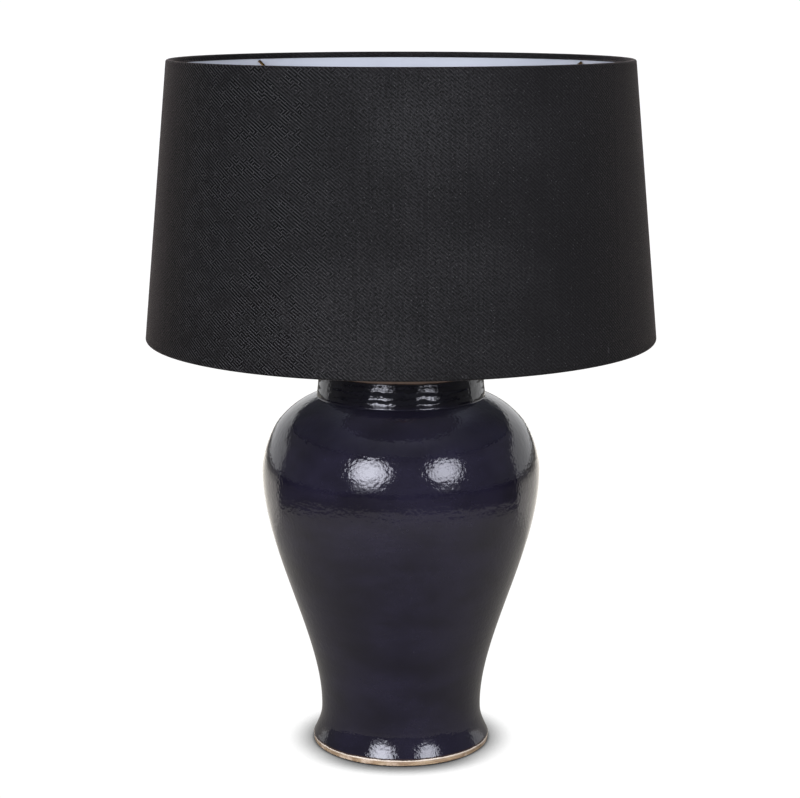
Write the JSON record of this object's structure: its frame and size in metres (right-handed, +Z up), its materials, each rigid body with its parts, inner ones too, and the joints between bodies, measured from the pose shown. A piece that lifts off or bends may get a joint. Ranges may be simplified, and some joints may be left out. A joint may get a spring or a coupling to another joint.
{
  "type": "table lamp",
  "caption": "Table lamp: a dark navy glazed stoneware jar base with a wide tapered drum shade in charcoal cloth, hung from a harp by its spider and finial.",
  "frame": {"origin": "centre of the foot ring's underside, on the table", "axes": "+Z up the lamp's axis, -Y to the front with the switch knob, +X to the right, +Y to the back with the cord inlet"},
  "size_m": [0.5, 0.5, 0.684],
  "materials": {
    "navy_glaze": "glossy slightly rippled dark navy glaze over stoneware, bare clay foot ring and lip",
    "black_rubber": "matt black moulded rubber",
    "black_baize": "matt black baize",
    "zinc_steel": "zinc-plated steel",
    "aged_brass": "brown antiqued brass, satin",
    "bright_brass": "bright stamped brass",
    "charcoal_fabric": "matt charcoal-black woven cloth, visible twill and slubs",
    "white_liner": "cool white styrene lining, satin",
    "black_phenolic": "moulded black phenolic",
    "insulating_card": "brown insulating card",
    "opal_glass": "white opal coated glass",
    "clear_glass": "clear glass",
    "bulb_aluminium": "thin drawn aluminium",
    "tungsten": "fine support wire and filament"
  },
  "bodies": {
    "stand": {"jar_body": "navy_glaze", "cord_grommet": "black_rubber", "base_baize": "black_baize", "floor_washer": "zinc_steel", "floor_lock_washer": "zinc_steel", "floor_nut": "zinc_steel", "centre_rod": "zinc_steel", "neck_gasket": "black_rubber", "neck_cap": "aged_brass", "cap_nut": "aged_brass", "neck_spacer": "aged_brass", "harp_saddle": "aged_brass", "harp_wire": "aged_brass", "harp_stud": "aged_brass", "socket_cap": "aged_brass", "socket_shell": "aged_brass", "socket_liner": "insulating_card", "socket_core": "black_phenolic", "terminal_screw_left": "bright_brass", "terminal_screw_right": "bright_brass", "socket_set_screw": "zinc_steel", "screw_shell": "bright_brass", "centre_contact": "bright_brass"},
    "switch": {"switch_stem": "bright_brass", "switch_knob": "black_phenolic"},
    "bulb": {"bulb_contact": "bright_brass", "bulb_insulator": "black_phenolic", "bulb_screw_cap": "bulb_aluminium", "bulb_glass": "opal_glass", "bulb_stem": "clear_glass", "bulb_filament": "tungsten"},
    "ferrule_left": {"harp_ferrule_left": "aged_brass"},
    "ferrule_right": {"harp_ferrule_right": "aged_brass"},
    "shade": {"spider_hub": "aged_brass", "spider_arm_1": "aged_brass", "spider_arm_2": "aged_brass", "spider_arm_3": "aged_brass", "spider_arm_4": "aged_brass", "top_ring": "zinc_steel", "bottom_ring": "zinc_steel", "shade_liner": "white_liner", "shade_cover": "charcoal_fabric"},
    "finial": {"finial": "aged_brass"}
  },
  "joints": [
    {"name": "switch_turn", "type": "hinge", "parent": "stand", "child": "switch", "pos_m": [0, -0.03, 0.435], "axis": [0, -1, 0], "continuous": true},
    {"name": "bulb_turn", "type": "hinge", "parent": "stand", "child": "bulb", "pos_m": [0, 0, 0.4452], "axis": [0, 0, 1], "range_deg": [0, 1260]},
    {"name": "ferrule_left_slide", "type": "slide", "parent": "stand", "child": "ferrule_left", "axis": [0, 0, 1], "range_m": [0, 0.014]},
    {"name": "ferrule_right_slide", "type": "slide", "parent": "stand", "child": "ferrule_right", "axis": [0, 0, 1], "range_m": [0, 0.014]},
    {"name": "shade_swivel", "type": "hinge", "parent": "stand", "child": "shade", "pos_m": [0, 0, 0.6469], "axis": [0, 0, 1], "continuous": true},
    {"name": "finial_turn", "type": "hinge", "parent": "stand", "child": "finial", "pos_m": [0, 0, 0.6484], "axis": [0, 0, 1], "range_deg": [0, 3960]}
  ]
}
